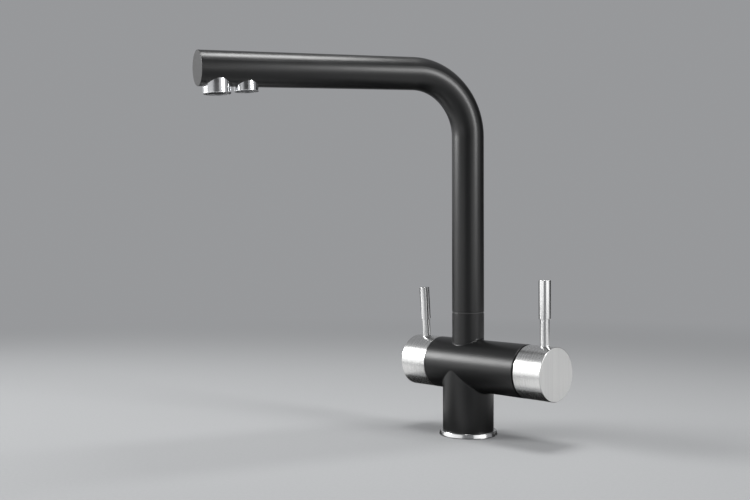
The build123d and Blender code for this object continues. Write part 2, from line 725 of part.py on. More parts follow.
with BuildPart() as filter_circlip:
    rod(clip_dia, clip_foot + fit, clip_top - fit, filter_side)
    bore(valve_spindle_dia - 2 * clip_groove + 2 * fit, clip_foot, clip_top, filter_side)
    with Locations(filter_side.offset(clip_foot)):
        with Locations((0, -clip_dia / 2)):
            Box(valve_square, clip_dia, clip_thickness, align=SEATED, mode=Mode.SUBTRACT)

filter_lever_foot = knob_dia / 2 - lever_sink

with BuildPart() as filter_knob:
    rod(knob_dia, filter_rim, filter_end, filter_side)
    fillet(rim(filter_knob, filter_side, filter_end), knob_edge)
    fillet(rim(filter_knob, filter_side, filter_rim), knob_rim_edge)
    bore(knob_dia - 2 * filter_rim_wall, filter_rim, filter_floor, filter_side)
    with Locations(filter_side.offset(filter_floor)):
        valve_socket = valve_square + 2 * fit
        Box(valve_socket, valve_socket, valve_square_depth + clear, align=SEATED, mode=Mode.SUBTRACT)
    bore(filter_lever_stem + 2 * fit, filter_lever_foot, knob_dia, filter_upright)
    bore(knob_screw_dia + 2 * fit, 0, knob_dia, filter_under)

with BuildPart() as filter_lever:
    rod(filter_lever_stem, filter_lever_foot + fit, filter_lever_step, filter_upright)
    rod(filter_lever_grip, filter_lever_step, filter_lever_top, filter_upright)
    fillet(rim(filter_lever, filter_upright, filter_lever_top), lever_edge)
    fillet(rim(filter_lever, filter_upright, filter_lever_step), lever_edge)

with BuildPart() as filter_knob_screw:
    filter_screw_tip = valve_square / 2 + 2 * fit
    set_screw(knob_screw_dia, filter_screw_tip, filter_screw_tip + knob_screw_length, filter_under)

pieces = {
    "body_casting": body_casting,
    "base_ring": base_ring,
    "base_seal": base_seal,
    "mounting_shank": mounting_shank,
    "deck_seal_washer": deck_seal_washer,
    "deck_clamp_washer": deck_clamp_washer,
    "mounting_nut": mounting_nut,
    "inlet_block": inlet_block,
    "cartridge_base": cartridge_base,
    "cartridge_seals": cartridge_seals,
    "fixed_mixing_disc": fixed_mixing_disc,
    "cartridge_housing": cartridge_housing,
    "cartridge_nut": cartridge_nut,
    "filter_valve_body": filter_valve_body,
    "filter_valve_seal": filter_valve_seal,
    "filter_fixed_disc": filter_fixed_disc,
    "swivel_spigot": swivel_spigot,
    "swivel_orings": swivel_orings,
    "swivel_slip_ring": swivel_slip_ring,
    "filter_tube_socket": filter_tube_socket,
    "spout_tube": spout_tube,
    "spout_end_cap": spout_end_cap,
    "spout_bush": spout_bush,
    "spout_grub_screw": spout_grub_screw,
    "filter_water_tube": filter_water_tube,
    "filter_tube_elbow": filter_tube_elbow,
    "main_outlet_collar": main_outlet_collar,
    "aerator_washer": aerator_washer,
    "aerator_housing": aerator_housing,
    "aerator_screen": aerator_screen,
    "filter_outlet_collar": filter_outlet_collar,
    "filter_outlet_seal": filter_outlet_seal,
    "filter_outlet_insert": filter_outlet_insert,
    "spindle_guide": spindle_guide,
    "spindle_pin": spindle_pin,
    "cartridge_spindle": cartridge_spindle,
    "mixer_knob": mixer_knob,
    "mixer_lever": mixer_lever,
    "mixer_knob_screw": mixer_knob_screw,
    "moving_mixing_disc": moving_mixing_disc,
    "disc_carrier": disc_carrier,
    "filter_spindle": filter_spindle,
    "filter_moving_disc": filter_moving_disc,
    "filter_spindle_oring": filter_spindle_oring,
    "filter_circlip": filter_circlip,
    "filter_knob": filter_knob,
    "filter_lever": filter_lever,
    "filter_knob_screw": filter_knob_screw,
}

os.makedirs("parts", exist_ok=True)
for name, piece in pieces.items():
    piece.part.label = name
    export_step(piece.part, f"parts/{name}.step")
print(len(pieces), "pieces written")
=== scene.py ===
# %% [markdown]
# # A kitchen mixer tap in satin black and steel
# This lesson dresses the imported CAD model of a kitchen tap. The tap has a black swivel spout,
# two steel knobs with slim levers and two chrome outlets. The CAD meshes already have the right
# shape and fine normals, so all but one stay, and the work goes into finishes and light. The one
# new mesh is the shank under the deck, with the thread that its solid leaves out. All sizes are
# in metres.

# %% Load the frame
import json
from math import cos, degrees, pi, radians, sin, tau

import bmesh
import bpy
from mathutils import Matrix, Vector


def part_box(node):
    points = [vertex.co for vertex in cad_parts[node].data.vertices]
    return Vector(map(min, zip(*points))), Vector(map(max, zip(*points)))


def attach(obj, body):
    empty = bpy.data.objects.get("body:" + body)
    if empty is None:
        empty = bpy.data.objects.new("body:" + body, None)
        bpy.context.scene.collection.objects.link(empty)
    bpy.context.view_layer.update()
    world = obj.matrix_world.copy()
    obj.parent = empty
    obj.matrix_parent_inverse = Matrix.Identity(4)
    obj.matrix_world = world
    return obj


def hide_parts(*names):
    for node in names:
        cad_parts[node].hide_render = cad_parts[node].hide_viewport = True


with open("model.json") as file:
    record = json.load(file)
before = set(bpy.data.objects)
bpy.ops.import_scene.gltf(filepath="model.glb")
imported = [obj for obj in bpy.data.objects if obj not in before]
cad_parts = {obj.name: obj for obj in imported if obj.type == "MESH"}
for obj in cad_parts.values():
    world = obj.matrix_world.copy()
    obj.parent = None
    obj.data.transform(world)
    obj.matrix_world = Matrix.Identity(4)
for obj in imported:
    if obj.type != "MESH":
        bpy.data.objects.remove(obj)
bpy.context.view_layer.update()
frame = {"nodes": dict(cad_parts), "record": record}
scene = bpy.context.scene
scene.view_settings.view_transform = "Standard"

# %% [markdown]
# ## Camera
# A product photo of a tap is taken from about a metre away, a little above the knobs, with a
# normal lens. The tap stands turned, so that the mixer knob comes towards the viewer. The camera
# could be placed by eye, but here it is written as a photographer would note it: how far the tap
# is turned, how far away and how high the camera stands, and its slight tilt and roll.

# %% Camera
turned = radians(46.512)
camera_distance = 0.8783
camera_aside = 0.0817
camera_height = 0.1723
tilt_down = radians(0.681)
camera_roll = radians(0.152)
sensor_width_mm = 36.0
lens_mm = 48.0

up = Vector((0, 0, 1))
to_right = Vector((cos(turned), sin(turned), 0))
ahead = Vector((-sin(turned), cos(turned), 0))
look = ahead * cos(tilt_down) - up * sin(tilt_down)
level_top = ahead * sin(tilt_down) + up * cos(tilt_down)
frame_right = to_right * cos(camera_roll) - level_top * sin(camera_roll)
frame_top = to_right * sin(camera_roll) + level_top * cos(camera_roll)

camera_data = bpy.data.cameras.new("photo_camera")
camera_data.sensor_width = sensor_width_mm
camera_data.lens = lens_mm
camera = bpy.data.objects.new("photo_camera", camera_data)
scene.collection.objects.link(camera)
turn = Matrix((frame_right, frame_top, -look)).transposed().to_4x4()
place = up * camera_height - to_right * camera_aside - ahead * camera_distance
camera.matrix_world = Matrix.Translation(place) @ turn
scene.camera = camera
print("camera at", [round(c, 4) for c in place])

# %% [markdown]
# ## Helpers for shader nodes
# Every finish below is a small node tree. Clicking nodes together is the usual way, but a finish
# that is written down can be read and changed later. These helpers make a node and set its
# sockets, each to a plain value or to the output of another node.

# %% Node helpers
def set_socket(tree, socket, value):
    """Gives an input a plain value, or links another node's output to it."""
    if isinstance(value, bpy.types.NodeSocket):
        tree.links.new(value, socket)
    else:
        socket.default_value = value


def fill_sockets(tree, node, sockets):
    """Sets a node's inputs by their names."""
    for name, value in sockets.items():
        set_socket(tree, node.inputs[name.replace("_", " ")], value)
    return node


def add_node(tree, kind, settings=None, **sockets):
    """A new node with its settings and sockets."""
    made = tree.nodes.new(kind)
    for name, value in (settings or {}).items():
        setattr(made, name, value)
    return fill_sockets(tree, made, sockets)


def calculate(tree, operation, *values):
    """The output of a Math node; each value is a number or another node's output."""
    made = add_node(tree, "ShaderNodeMath", {"operation": operation})
    for socket, value in zip(made.inputs, values):
        set_socket(tree, socket, value)
    return made.outputs["Value"]


print("node helpers ready")

# %% [markdown]
# ## Helpers for materials and groups
# A material starts with one Principled shader and its output. An effect that several materials
# share could be copied into each of them. A node group is better: it is built once and placed in
# each material with its own values, so a change to it reaches them all.

# %% Material and group helpers
def new_material(name):
    """A material with an empty tree, its Principled shader and its output."""
    material = bpy.data.materials.new(name)
    material.use_nodes = True
    tree = material.node_tree
    tree.nodes.clear()
    shader = add_node(tree, "ShaderNodeBsdfPrincipled")
    add_node(tree, "ShaderNodeOutputMaterial", Surface=shader.outputs["BSDF"])
    return material, tree, shader


def new_group(name, inputs, outputs):
    """A shader node group by name; an input without a first value is a vector."""
    tree = bpy.data.node_groups.new(name, "ShaderNodeTree")
    for socket, value in inputs.items():
        kind = "NodeSocketVector" if value is None else "NodeSocketFloat"
        made = tree.interface.new_socket(name=socket, in_out="INPUT", socket_type=kind)
        if value is not None:
            made.default_value = value
    for socket in outputs:
        tree.interface.new_socket(name=socket, in_out="OUTPUT", socket_type="NodeSocketFloat")
    return tree, tree.nodes.new("NodeGroupInput"), tree.nodes.new("NodeGroupOutput")


def use_group(tree, group, **sockets):
    """A group placed in a material's tree with its own values."""
    return add_node(tree, "ShaderNodeGroup", {"node_tree": group}, **sockets)


print("material and group helpers ready")

# %% [markdown]
# ## Helpers for masks
# A mask is a value from 0 to 1 that changes over the surface. It becomes visible as a range of
# roughness, as a mix of two colours, or as a height that is pressed into the surface.

# %% Mask helpers
def between(tree, mask, low, high):
    """A mask from 0 to 1 turned into a value between two limits."""
    ranged = add_node(tree, "ShaderNodeMapRange", Value=mask, To_Min=low, To_Max=high)
    return ranged.outputs["Result"]


def mixed(tree, kind, mask, first, second):
    """A mix of two colours or two vectors, by a mask. The Mix node has sockets for every kind."""
    ending = {"RGBA": "Color", "VECTOR": "Vector"}[kind]
    mix = add_node(tree, "ShaderNodeMix", {"data_type": kind}, Factor=mask)
    inputs = {socket.identifier: socket for socket in mix.inputs}
    outputs = {socket.identifier: socket for socket in mix.outputs}
    set_socket(tree, inputs["A_" + ending], first)
    set_socket(tree, inputs["B_" + ending], second)
    return outputs["Result_" + ending]


def two_tone(tree, mask, first, second):
    """A colour between two colours, by a mask."""
    return mixed(tree, "RGBA", mask, (*first, 1), (*second, 1))


def bumped(tree, shader, height, depth):
    """A height from 0 to 1 pressed into the surface, to a depth in metres."""
    bump = add_node(tree, "ShaderNodeBump", Height=height, Distance=depth)
    tree.links.new(bump.outputs["Normal"], shader.inputs["Normal"])


print("mask helpers ready")

# %% [markdown]
# ## Shared surface effects
# Three effects turn up on several finishes. A sprayed coat, moulded plastic and rubber all have a
# fine grain. Turned and brushed metal has tool lines that run one way. Every part of a tap that
# people touch has faint uneven patches where it was wiped. Each is one node group that works on
# the object's own coordinates, so that it stays put when the knob turns.

# %% Effect groups
def noise_mask(tree, vector, scale, low, high, detail, roughness, distortion=0.0):
    """A noise as it is, and as a mask that is stretched from 0 to 1 between two of its levels."""
    noise = add_node(
        tree, "ShaderNodeTexNoise", Vector=vector, Scale=scale,
        Detail=detail, Roughness=roughness, Distortion=distortion,
    )
    mask = add_node(
        tree, "ShaderNodeMapRange", Value=noise.outputs["Fac"], From_Min=low, From_Max=high
    )
    return noise.outputs["Fac"], mask.outputs["Result"]


def grain_group():
    """Fine even grain of a sprayed or moulded surface."""
    tree, given, made = new_group("fine_grain", {"Scale": 2500.0}, ["Height", "Mask"])
    place = add_node(tree, "ShaderNodeTexCoord").outputs["Object"]
    height, mask = noise_mask(
        tree, place, given.outputs["Scale"], low=0.35, high=0.65, detail=2.0, roughness=0.6
    )
    fill_sockets(tree, made, {"Height": height, "Mask": mask})
    return tree


def lines_group():
    """Tool lines: noise on a vector that the material has stretched along the lines."""
    tree, given, made = new_group("tool_lines", {"Vector": None, "Density": 1.0}, ["Mask"])
    vector, density = given.outputs["Vector"], given.outputs["Density"]
    mask = noise_mask(tree, vector, density, low=0.3, high=0.7, detail=4.0, roughness=0.7)[1]
    fill_sockets(tree, made, {"Mask": mask})
    return tree


def wiped_group():
    """Broad soft patches of a surface that hands and cloths go over."""
    tree, given, made = new_group("wiped_patches", {"Scale": 30.0}, ["Mask"])
    place = add_node(tree, "ShaderNodeTexCoord").outputs["Object"]
    mask = noise_mask(
        tree, place, given.outputs["Scale"],
        low=0.3, high=0.7, detail=3.0, roughness=0.55, distortion=0.6,
    )[1]
    fill_sockets(tree, made, {"Mask": mask})
    return tree


fine_grain = grain_group()
tool_lines = lines_group()
wiped_patches = wiped_group()
print("effect groups:", [group.name for group in bpy.data.node_groups])

# %% [markdown]
# ## The black coat
# The spout and the body casting are metal under a satin black coat, baked on in the factory. It
# is nearly black, with a soft gloss that turns the studio lights into broad grey bands. The sheen
# comes from a middling roughness, and the grain is far finer than a pixel at a step away, so it
# only breaks up the highlights a little.

# %% Black coat
coat_colours = ((0.0035, 0.0036, 0.0037), (0.0065, 0.0066, 0.0068))
coat_roughness = (0.31, 0.37)
coat_ior = 1.45
coat_grain_scale = 2800.0
coat_grain_depth = 0.00001
coat_patch_scale = 24.0


def black_coat():
    material, tree, shader = new_material("satin_black_coat")
    grain = use_group(tree, fine_grain, Scale=coat_grain_scale)
    wiped = use_group(tree, wiped_patches, Scale=coat_patch_scale)
    fill_sockets(tree, shader, {
        "Base Color": two_tone(tree, grain.outputs["Mask"], *coat_colours),
        "Roughness": between(tree, wiped.outputs["Mask"], *coat_roughness),
        "IOR": coat_ior,
    })
    bumped(tree, shader, grain.outputs["Height"], coat_grain_depth)
    return material


finishes = {"black_coat": black_coat()}
print("finish:", finishes["black_coat"].name)

# %% [markdown]
# ## Lines on turned and brushed metal
# A lathe leaves lines round the side of a piece, and brushing leaves straight lines over its flat
# end. A painted texture could show them, but it would need an unwrapped mesh. Here the coordinates
# are squeezed in two directions, so that a noise becomes lines, and the surface's own direction
# along the turning axis tells a flat end from the side.

# %% Line helpers
line_stretch = 0.004
flat_end_limit = 0.8
axis_vectors = {"X": (1, 0, 0), "Y": (0, 1, 0), "Z": (0, 0, 1)}


def end_mask(tree, place, axis):
    """1 where the surface faces along the turning axis, and 0 on its side."""
    along = add_node(tree, "ShaderNodeVectorMath", {"operation": "DOT_PRODUCT"})
    tree.links.new(place.outputs["Normal"], along.inputs[0])
    along.inputs[1].default_value = axis_vectors[axis]
    straight = calculate(tree, "ABSOLUTE", along.outputs["Value"])
    return calculate(tree, "GREATER_THAN", straight, flat_end_limit)


def line_vector(tree, place, across):
    """Coordinates for lines that follow one another along an axis."""
    scale = [1.0 if share else line_stretch for share in axis_vectors[across]]
    squeezed = add_node(tree, "ShaderNodeMapping", Vector=place.outputs["Object"], Scale=scale)
    return squeezed.outputs["Vector"]


print("line helpers ready")

# %% [markdown]
# ## Steel and brass
# The knobs are stainless steel, turned on a lathe and brushed: the lines go round the side and
# run straight up and down over the flat end, which is duller. The levers are drawn rod with a finer
# polish, the foot ring is polished, and the fastening under the deck is turned brass. They could
# be separate materials, but they differ only in their numbers, so one function makes all of them.

# %% Steel and brass
coarse_ratio = 9
coarse_height = 0.6
line_share = 0.7
worn_share = 0.3
metal_patch_scale = 45.0
steel_colours = ((0.60, 0.60, 0.595), (0.70, 0.70, 0.69))
lever_colours = ((0.64, 0.64, 0.635), (0.68, 0.68, 0.675))
ring_colours = ((0.61, 0.61, 0.61), (0.67, 0.67, 0.67))
brass_colours = ((0.60, 0.43, 0.19), (0.74, 0.56, 0.27))


def turned_metal(name, axis, across, colours, roughness, density, end_extra=0.0, depth=0.0):
    """Metal with lines round an axis, and on its ends lines that follow one another across.

    end_extra is the roughness that an end has beyond the side's."""
    material, tree, shader = new_material(name)
    place = add_node(tree, "ShaderNodeTexCoord")
    on_end = end_mask(tree, place, axis)
    round_side = line_vector(tree, place, axis)
    over_end = line_vector(tree, place, across)
    vector = mixed(tree, "VECTOR", on_end, round_side, over_end)
    fine = use_group(tree, tool_lines, Vector=vector, Density=density).outputs["Mask"]
    coarse = use_group(tree, tool_lines, Vector=vector, Density=density / coarse_ratio)
    coarse = coarse.outputs["Mask"]
    wiped = use_group(tree, wiped_patches, Scale=metal_patch_scale)
    worn = calculate(tree, "MULTIPLY", wiped.outputs["Mask"], worn_share)
    uneven = calculate(tree, "MULTIPLY_ADD", fine, line_share, worn)
    side_rough = between(tree, uneven, *roughness)
    fill_sockets(tree, shader, {
        "Base Color": two_tone(tree, coarse, *colours),
        "Metallic": 1.0,
        "Roughness": calculate(tree, "MULTIPLY_ADD", on_end, end_extra, side_rough),
    })
    if depth:
        height = calculate(tree, "MULTIPLY_ADD", coarse, coarse_height, fine)
        bumped(tree, shader, height, depth)
    return material


finishes["brushed_steel"] = turned_metal(
    "brushed_steel", axis="X", across="Y", colours=steel_colours,
    roughness=(0.22, 0.30), density=10000.0, end_extra=0.19, depth=0.0000015,
)
finishes["lever_steel"] = turned_metal(
    "lever_steel", axis="Z", across="X", colours=lever_colours,
    roughness=(0.14, 0.17), density=8000.0, end_extra=0.05,
)
finishes["foot_steel"] = turned_metal(
    "foot_steel", axis="Z", across="X", colours=ring_colours,
    roughness=(0.14, 0.20), density=8000.0,
)
finishes["brass"] = turned_metal(
    "machined_brass", axis="Z", across="X", colours=brass_colours,
    roughness=(0.24, 0.38), density=9000.0, end_extra=0.05, depth=0.000004,
)
print("finishes:", list(finishes))

# %% [markdown]
# ## Chrome, plated steel, ceramic, plastic and rubber
# The outlets are chrome. Inside the tap and under the deck are plated washers and screws, ceramic
# discs, moulded plastic and rubber seals. They are plain machine parts, and plain colours could do,
# but each still gets the grain and the patches of its material, since a pose or a cut may show it.
# One function serves them all. Chrome has its own, with a polish instead of a grain.

# %% Other finishes
chrome_colours = ((0.74, 0.75, 0.76), (0.82, 0.82, 0.83))
chrome_patch_scale = 60.0
grained_patch_scale = 50.0


def chrome(name, colours, roughness):
    """Polished metal with faint patches."""
    material, tree, shader = new_material(name)
    wiped = use_group(tree, wiped_patches, Scale=chrome_patch_scale)
    fill_sockets(tree, shader, {
        "Base Color": two_tone(tree, wiped.outputs["Mask"], *colours),
        "Metallic": 1.0,
        "Roughness": between(tree, wiped.outputs["Mask"], *roughness),
    })
    return material


def grained(name, dark, light, roughness, scale, depth, metallic=0.0):
    """A surface with an even grain of its own scale and depth."""
    material, tree, shader = new_material(name)
    grain = use_group(tree, fine_grain, Scale=scale)
    wiped = use_group(tree, wiped_patches, Scale=grained_patch_scale)
    fill_sockets(tree, shader, {
        "Base Color": two_tone(tree, grain.outputs["Mask"], dark, light),
        "Metallic": metallic,
        "Roughness": between(tree, wiped.outputs["Mask"], *roughness),
    })
    bumped(tree, shader, grain.outputs["Height"], depth)
    return material


finishes["outlet_chrome"] = chrome("outlet_chrome", chrome_colours, roughness=(0.14, 0.19))
finishes["steel"] = grained(
    "plated_steel", dark=(0.50, 0.50, 0.51), light=(0.60, 0.60, 0.61),
    roughness=(0.28, 0.40), scale=1800.0, depth=0.000006, metallic=1.0,
)
finishes["ceramic"] = grained(
    "lapped_ceramic", dark=(0.78, 0.77, 0.73), light=(0.86, 0.85, 0.82),
    roughness=(0.20, 0.30), scale=900.0, depth=0.000002,
)
finishes["cartridge_plastic"] = grained(
    "cartridge_plastic", dark=(0.36, 0.38, 0.41), light=(0.44, 0.46, 0.49),
    roughness=(0.40, 0.55), scale=1500.0, depth=0.00002,
)
finishes["aerator_plastic"] = grained(
    "aerator_plastic", dark=(0.07, 0.072, 0.075), light=(0.10, 0.102, 0.105),
    roughness=(0.35, 0.50), scale=1500.0, depth=0.00002,
)
finishes["slip_plastic"] = grained(
    "slip_plastic", dark=(0.05, 0.05, 0.05), light=(0.075, 0.075, 0.075),
    roughness=(0.35, 0.45), scale=1500.0, depth=0.00001,
)
finishes["tube_plastic"] = grained(
    "tube_plastic", dark=(0.72, 0.73, 0.73), light=(0.80, 0.81, 0.81),
    roughness=(0.35, 0.45), scale=700.0, depth=0.00001,
)
finishes["rubber"] = grained(
    "moulded_rubber", dark=(0.016, 0.016, 0.016), light=(0.03, 0.03, 0.03),
    roughness=(0.60, 0.80), scale=1600.0, depth=0.00004,
)
print("finishes:", list(finishes))

# %% [markdown]
# ## Dress the CAD nodes
# The record says which finish each piece of the tap has. The pieces could be dressed one by one,
# but a loop over the record gives every node its material and forgets none.

# %% Assign finishes
slot_of = {part["node"]: part["material_slot"] for part in frame["record"]["subparts"]}
for name, piece in frame["nodes"].items():
    piece.data.materials.clear()
    piece.data.materials.append(finishes[slot_of[name]])
print("dressed", len(frame["nodes"]), "nodes")

# %% [markdown]
# ## The thread of the shank
# Under the deck the tap hangs on a hollow brass shank with a fine thread, which the nut climbs. Its
# solid is a plain tube with the outside size of the thread. A Screw modifier could wind one tooth
# into a thread, but its ends stay open and slanted. So the mesh is made row by row: the rows climb
# round the shank by one pitch a turn, as a thread does, and they stop level at both ends, where the
# teeth run out. The profile of a tooth lists how far up the pitch a row starts, and whether it lies
# on the crest (1) or on the root (0).

# %% Thread rows
pitch = 0.0015
tooth_per_pitch = 0.61
tooth_depth = tooth_per_pitch * pitch
tooth_profile = ((0.0, 1), (0.125, 1), (0.4375, 0), (0.6875, 0))
run_out = 0.0012
thread_steps = 72
spare_turns = 3

shank_low, shank_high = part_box("mounting_shank")
shank_radius = (shank_high[0] - shank_low[0]) / 2
root_radius = shank_radius - tooth_depth


def on_circle(made, radius, step, level):
    """A vertex at one of the steps round the shank."""
    angle = tau * step / thread_steps
    return made.verts.new((radius * cos(angle), radius * sin(angle), level))


def thread_rows(made, low, high):
    """Rows of vertices that climb round the shank, from one pitch under it to its top."""
    rows = []
    turns = int((high - low) / pitch) + spare_turns
    for turn in range(turns):
        for share, tooth in tooth_profile:
            start = low + (turn - 1 + share) * pitch
            row = []
            for step in range(thread_steps):
                level = min(max(start + pitch * step / thread_steps, low), high)
                left = min(1.0, (level - low) / run_out, (high - level) / run_out)
                row.append(on_circle(made, root_radius + tooth_depth * tooth * left, step, level))
            rows.append(row)
    return rows


print("thread radius", round(shank_radius, 5), "root radius", round(root_radius, 5))

# %% [markdown]
# ## The shank as one closed mesh
# Quads join each row to the next. At the end of its turn a row goes on in the row one pitch higher.
# Rings at both ends of the root and of the bore close the tube. Rows that have stopped lie on each
# other, and merging by distance removes them. The new piece rides on the body that doesn't move,
# and it stands for the plain shank.

# %% Threaded shank
shank_wall = 0.0025
bore_radius = shank_radius - shank_wall
merge_distance = 0.000001
sharp_angle = radians(30)


def threaded_shank():
    """The mesh of the shank, with its thread, its ends and its bore."""
    made = bmesh.new()
    low, high = shank_low[2], shank_high[2]
    rows = thread_rows(made, low, high)
    a_turn = len(tooth_profile)
    for index in range(len(rows) - a_turn - 1):
        for step in range(thread_steps):
            after = (step + 1) % thread_steps
            jump = 0 if after else a_turn
            lower, upper = rows[index], rows[index + 1]
            next_lower, next_upper = rows[index + jump], rows[index + jump + 1]
            made.faces.new((lower[step], next_lower[after], next_upper[after], upper[step]))
    corners = ((root_radius, high), (bore_radius, high), (bore_radius, low), (root_radius, low))
    rings = [[on_circle(made, radius, step, level) for step in range(thread_steps)]
             for radius, level in corners]
    for ring, after_ring in zip(rings, rings[1:]):
        for step in range(thread_steps):
            after = (step + 1) % thread_steps
            made.faces.new((ring[step], ring[after], after_ring[after], after_ring[step]))
    bmesh.ops.remove_doubles(made, verts=made.verts, dist=merge_distance)
    bmesh.ops.recalc_face_normals(made, faces=made.faces)
    mesh = bpy.data.meshes.new("threaded_shank")
    made.to_mesh(mesh)
    made.free()
    return mesh


def add_piece(mesh, body, slot, *nodes):
    """A new piece that rides on a body, takes a finish and stands for CAD nodes."""
    mesh.shade_smooth()
    mesh.set_sharp_from_angle(angle=sharp_angle)
    mesh.materials.append(finishes[slot])
    piece = bpy.data.objects.new(mesh.name, mesh)
    scene.collection.objects.link(piece)
    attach(piece, body)
    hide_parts(*nodes)
    return piece


shank = add_piece(threaded_shank(), "faucet_body", "brass", "mounting_shank")
print("threaded shank:", len(shank.data.vertices), "vertices")

# %% [markdown]
# ## Finish of the floor
# The tap stands on a plain pale deck. The deck runs out to the horizon, where it has to meet the
# background without a line. A curved backdrop would do that from one side only, so the deck's own
# colour fades with the distance into the colour of the surroundings, for the camera and for
# reflections alike. Seen from below, the deck is clear, so that the fastening under it shows. It
# has no gloss, so it doesn't mirror the cards that lie on it later.

# %% Floor finish
surroundings = (0.31, 0.315, 0.325)
deck_colour = (0.41, 0.415, 0.42)
deck_shade = 0.97
deck_grain_scale = 400.0
fade_start = 0.4
fade_end = 1.35


def seen(tree):
    """1 for what the camera, a mirror or glass sees, and 0 for light that only lands somewhere."""
    path = add_node(tree, "ShaderNodeLightPath").outputs
    looked_at = calculate(tree, "MAXIMUM", path["Is Camera Ray"], path["Is Glossy Ray"])
    return calculate(tree, "MAXIMUM", looked_at, path["Is Transmission Ray"])


def shader_mix(tree, share, first, second):
    """The output of a mix of two shaders' outputs."""
    mix = add_node(tree, "ShaderNodeMixShader", Fac=share)
    tree.links.new(first, mix.inputs[1])
    tree.links.new(second, mix.inputs[2])
    return mix.outputs["Shader"]


def deck_material():
    """A matt pale deck that fades into the surroundings and is clear from below."""
    material, tree, shader = new_material("pale_deck")
    grain = use_group(tree, fine_grain, Scale=deck_grain_scale)
    darker = tuple(deck_shade * c for c in deck_colour)
    fill_sockets(tree, shader, {
        "Base Color": two_tone(tree, grain.outputs["Mask"], darker, deck_colour),
        "Roughness": 1.0,
        "Specular IOR Level": 0.0,
    })
    place = add_node(tree, "ShaderNodeTexCoord").outputs["Object"]
    away = add_node(tree, "ShaderNodeVectorMath", {"operation": "LENGTH"}, Vector=place)
    fade = add_node(
        tree, "ShaderNodeMapRange", {"interpolation_type": "SMOOTHSTEP"},
        Value=away.outputs["Value"], From_Min=fade_start, From_Max=fade_end,
    )
    far = calculate(tree, "MULTIPLY", fade.outputs["Result"], seen(tree))
    haze = add_node(tree, "ShaderNodeEmission", Color=(*surroundings, 1))
    from_above = shader_mix(tree, far, shader.outputs["BSDF"], haze.outputs["Emission"])
    below = add_node(tree, "ShaderNodeNewGeometry").outputs["Backfacing"]
    clear = add_node(tree, "ShaderNodeBsdfTransparent")
    end = next(node for node in tree.nodes if node.type == "OUTPUT_MATERIAL")
    whole = shader_mix(tree, below, from_above, clear.outputs["BSDF"])
    tree.links.new(whole, end.inputs["Surface"])
    return material


deck_finish = deck_material()
print("floor finish:", deck_finish.name)

# %% [markdown]
# ## Floor and surroundings
# The deck has a hole for the shank, which a plain plane lacks. So it is a flat disc of rings of
# quads, fine near the hole and wide further out. The surroundings are an even grey world, of the
# colour that the deck fades into.

# %% Floor and surroundings
deck_level = -0.0001
deck_rings = (0.0175, 0.05, 0.3, 1.5, 6.0)
deck_steps = 96


def deck_mesh():
    """A flat disc with a round hole, as rings of quads."""
    made = bmesh.new()
    rings = []
    for radius in deck_rings:
        angles = [tau * step / deck_steps for step in range(deck_steps)]
        rings.append([made.verts.new((radius * cos(a), radius * sin(a), 0)) for a in angles])
    for inner, outer in zip(rings, rings[1:]):
        for step in range(deck_steps):
            after = (step + 1) % deck_steps
            made.faces.new((inner[step], outer[step], outer[after], inner[after]))
    mesh = bpy.data.meshes.new("pale_deck")
    made.to_mesh(mesh)
    made.free()
    return mesh


deck = bpy.data.objects.new("pale_deck", deck_mesh())
deck.location.z = deck_level
deck.data.materials.append(deck_finish)
scene.collection.objects.link(deck)

world = bpy.data.worlds.new("studio")
scene.world = world
world.use_nodes = True
world.node_tree.nodes.clear()
glow_all_round = add_node(world.node_tree, "ShaderNodeBackground", Color=(*surroundings, 1))
add_node(world.node_tree, "ShaderNodeOutputWorld", Surface=glow_all_round.outputs["Background"])
print("deck radius", deck_rings[-1], "surroundings", surroundings)

# %% [markdown]
# ## Helpers for lamps
# A studio lamp is a soft box: a lit sheet that faces the tap. It could be dragged into place, but
# here each one is written by its direction from the tap, its distance, its size and how bright its
# face looks. The brightness of the face is what a reflection shows, whatever the size of the lamp.

# %% Lamp helpers
def around(side, height_angle=0.0):
    """A direction from the tap: degrees to the right of the camera, and degrees above the level."""
    level = -ahead * cos(radians(side)) + to_right * sin(radians(side))
    return level * cos(radians(height_angle)) + up * sin(radians(height_angle))


def soft_box(name, aim, toward, distance, across, width, height, glow):
    """An area lamp that faces a point. glow is how bright its face looks, where 1 is white."""
    data = bpy.data.lights.new(name, "AREA")
    data.shape = "RECTANGLE"
    data.size = width
    data.size_y = height
    data.energy = glow * pi * width * height
    lamp = bpy.data.objects.new(name, data)
    rise = toward.cross(across).normalized()
    turn = Matrix((rise.cross(toward), rise, toward)).transposed().to_4x4()
    lamp.matrix_world = Matrix.Translation(aim + toward * distance) @ turn
    lamp.visible_camera = False
    scene.collection.objects.link(lamp)


def standing_box(name, side, distance, width, foot, top, glow):
    """A soft box that stands upright beside the tap, between two heights."""
    toward = around(side)
    middle = up * ((foot + top) / 2)
    soft_box(name, middle, toward, distance, up.cross(toward), width, top - foot, glow)


print("lamp helpers ready")

# %% [markdown]
# ## Light
# Satin black shows little colour of its own: what the eye reads is the reflection of the lights.
# So the lights are placed as in a product studio, each for one reflection. A box hangs over the arm
# and draws the bright band along its top. A box on the left, above knob height, draws the band
# along the barrel and the knobs. A dim wall on the left lights the left side of the riser, and a
# box at the right front draws the thin band down it. Low dim panels on both sides fill the levers,
# the foot ring and the outlets, and one at the back fills the flat end of the spout.

# %% Lights
stand_off = 1.7
panel_off = 1.5
arm_aim_reach = 0.035
left_box_side = -97


def middle_of(node):
    """The middle of a CAD node's box."""
    low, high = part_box(node)
    return (Vector(low) + Vector(high)) / 2


arm_end = middle_of("spout_end_cap")
arm_along = Vector((arm_end.x, arm_end.y, 0)).normalized()
arm_aim = up * arm_end.z + arm_along * arm_aim_reach
knob_middle = up * middle_of("mixer_knob").z

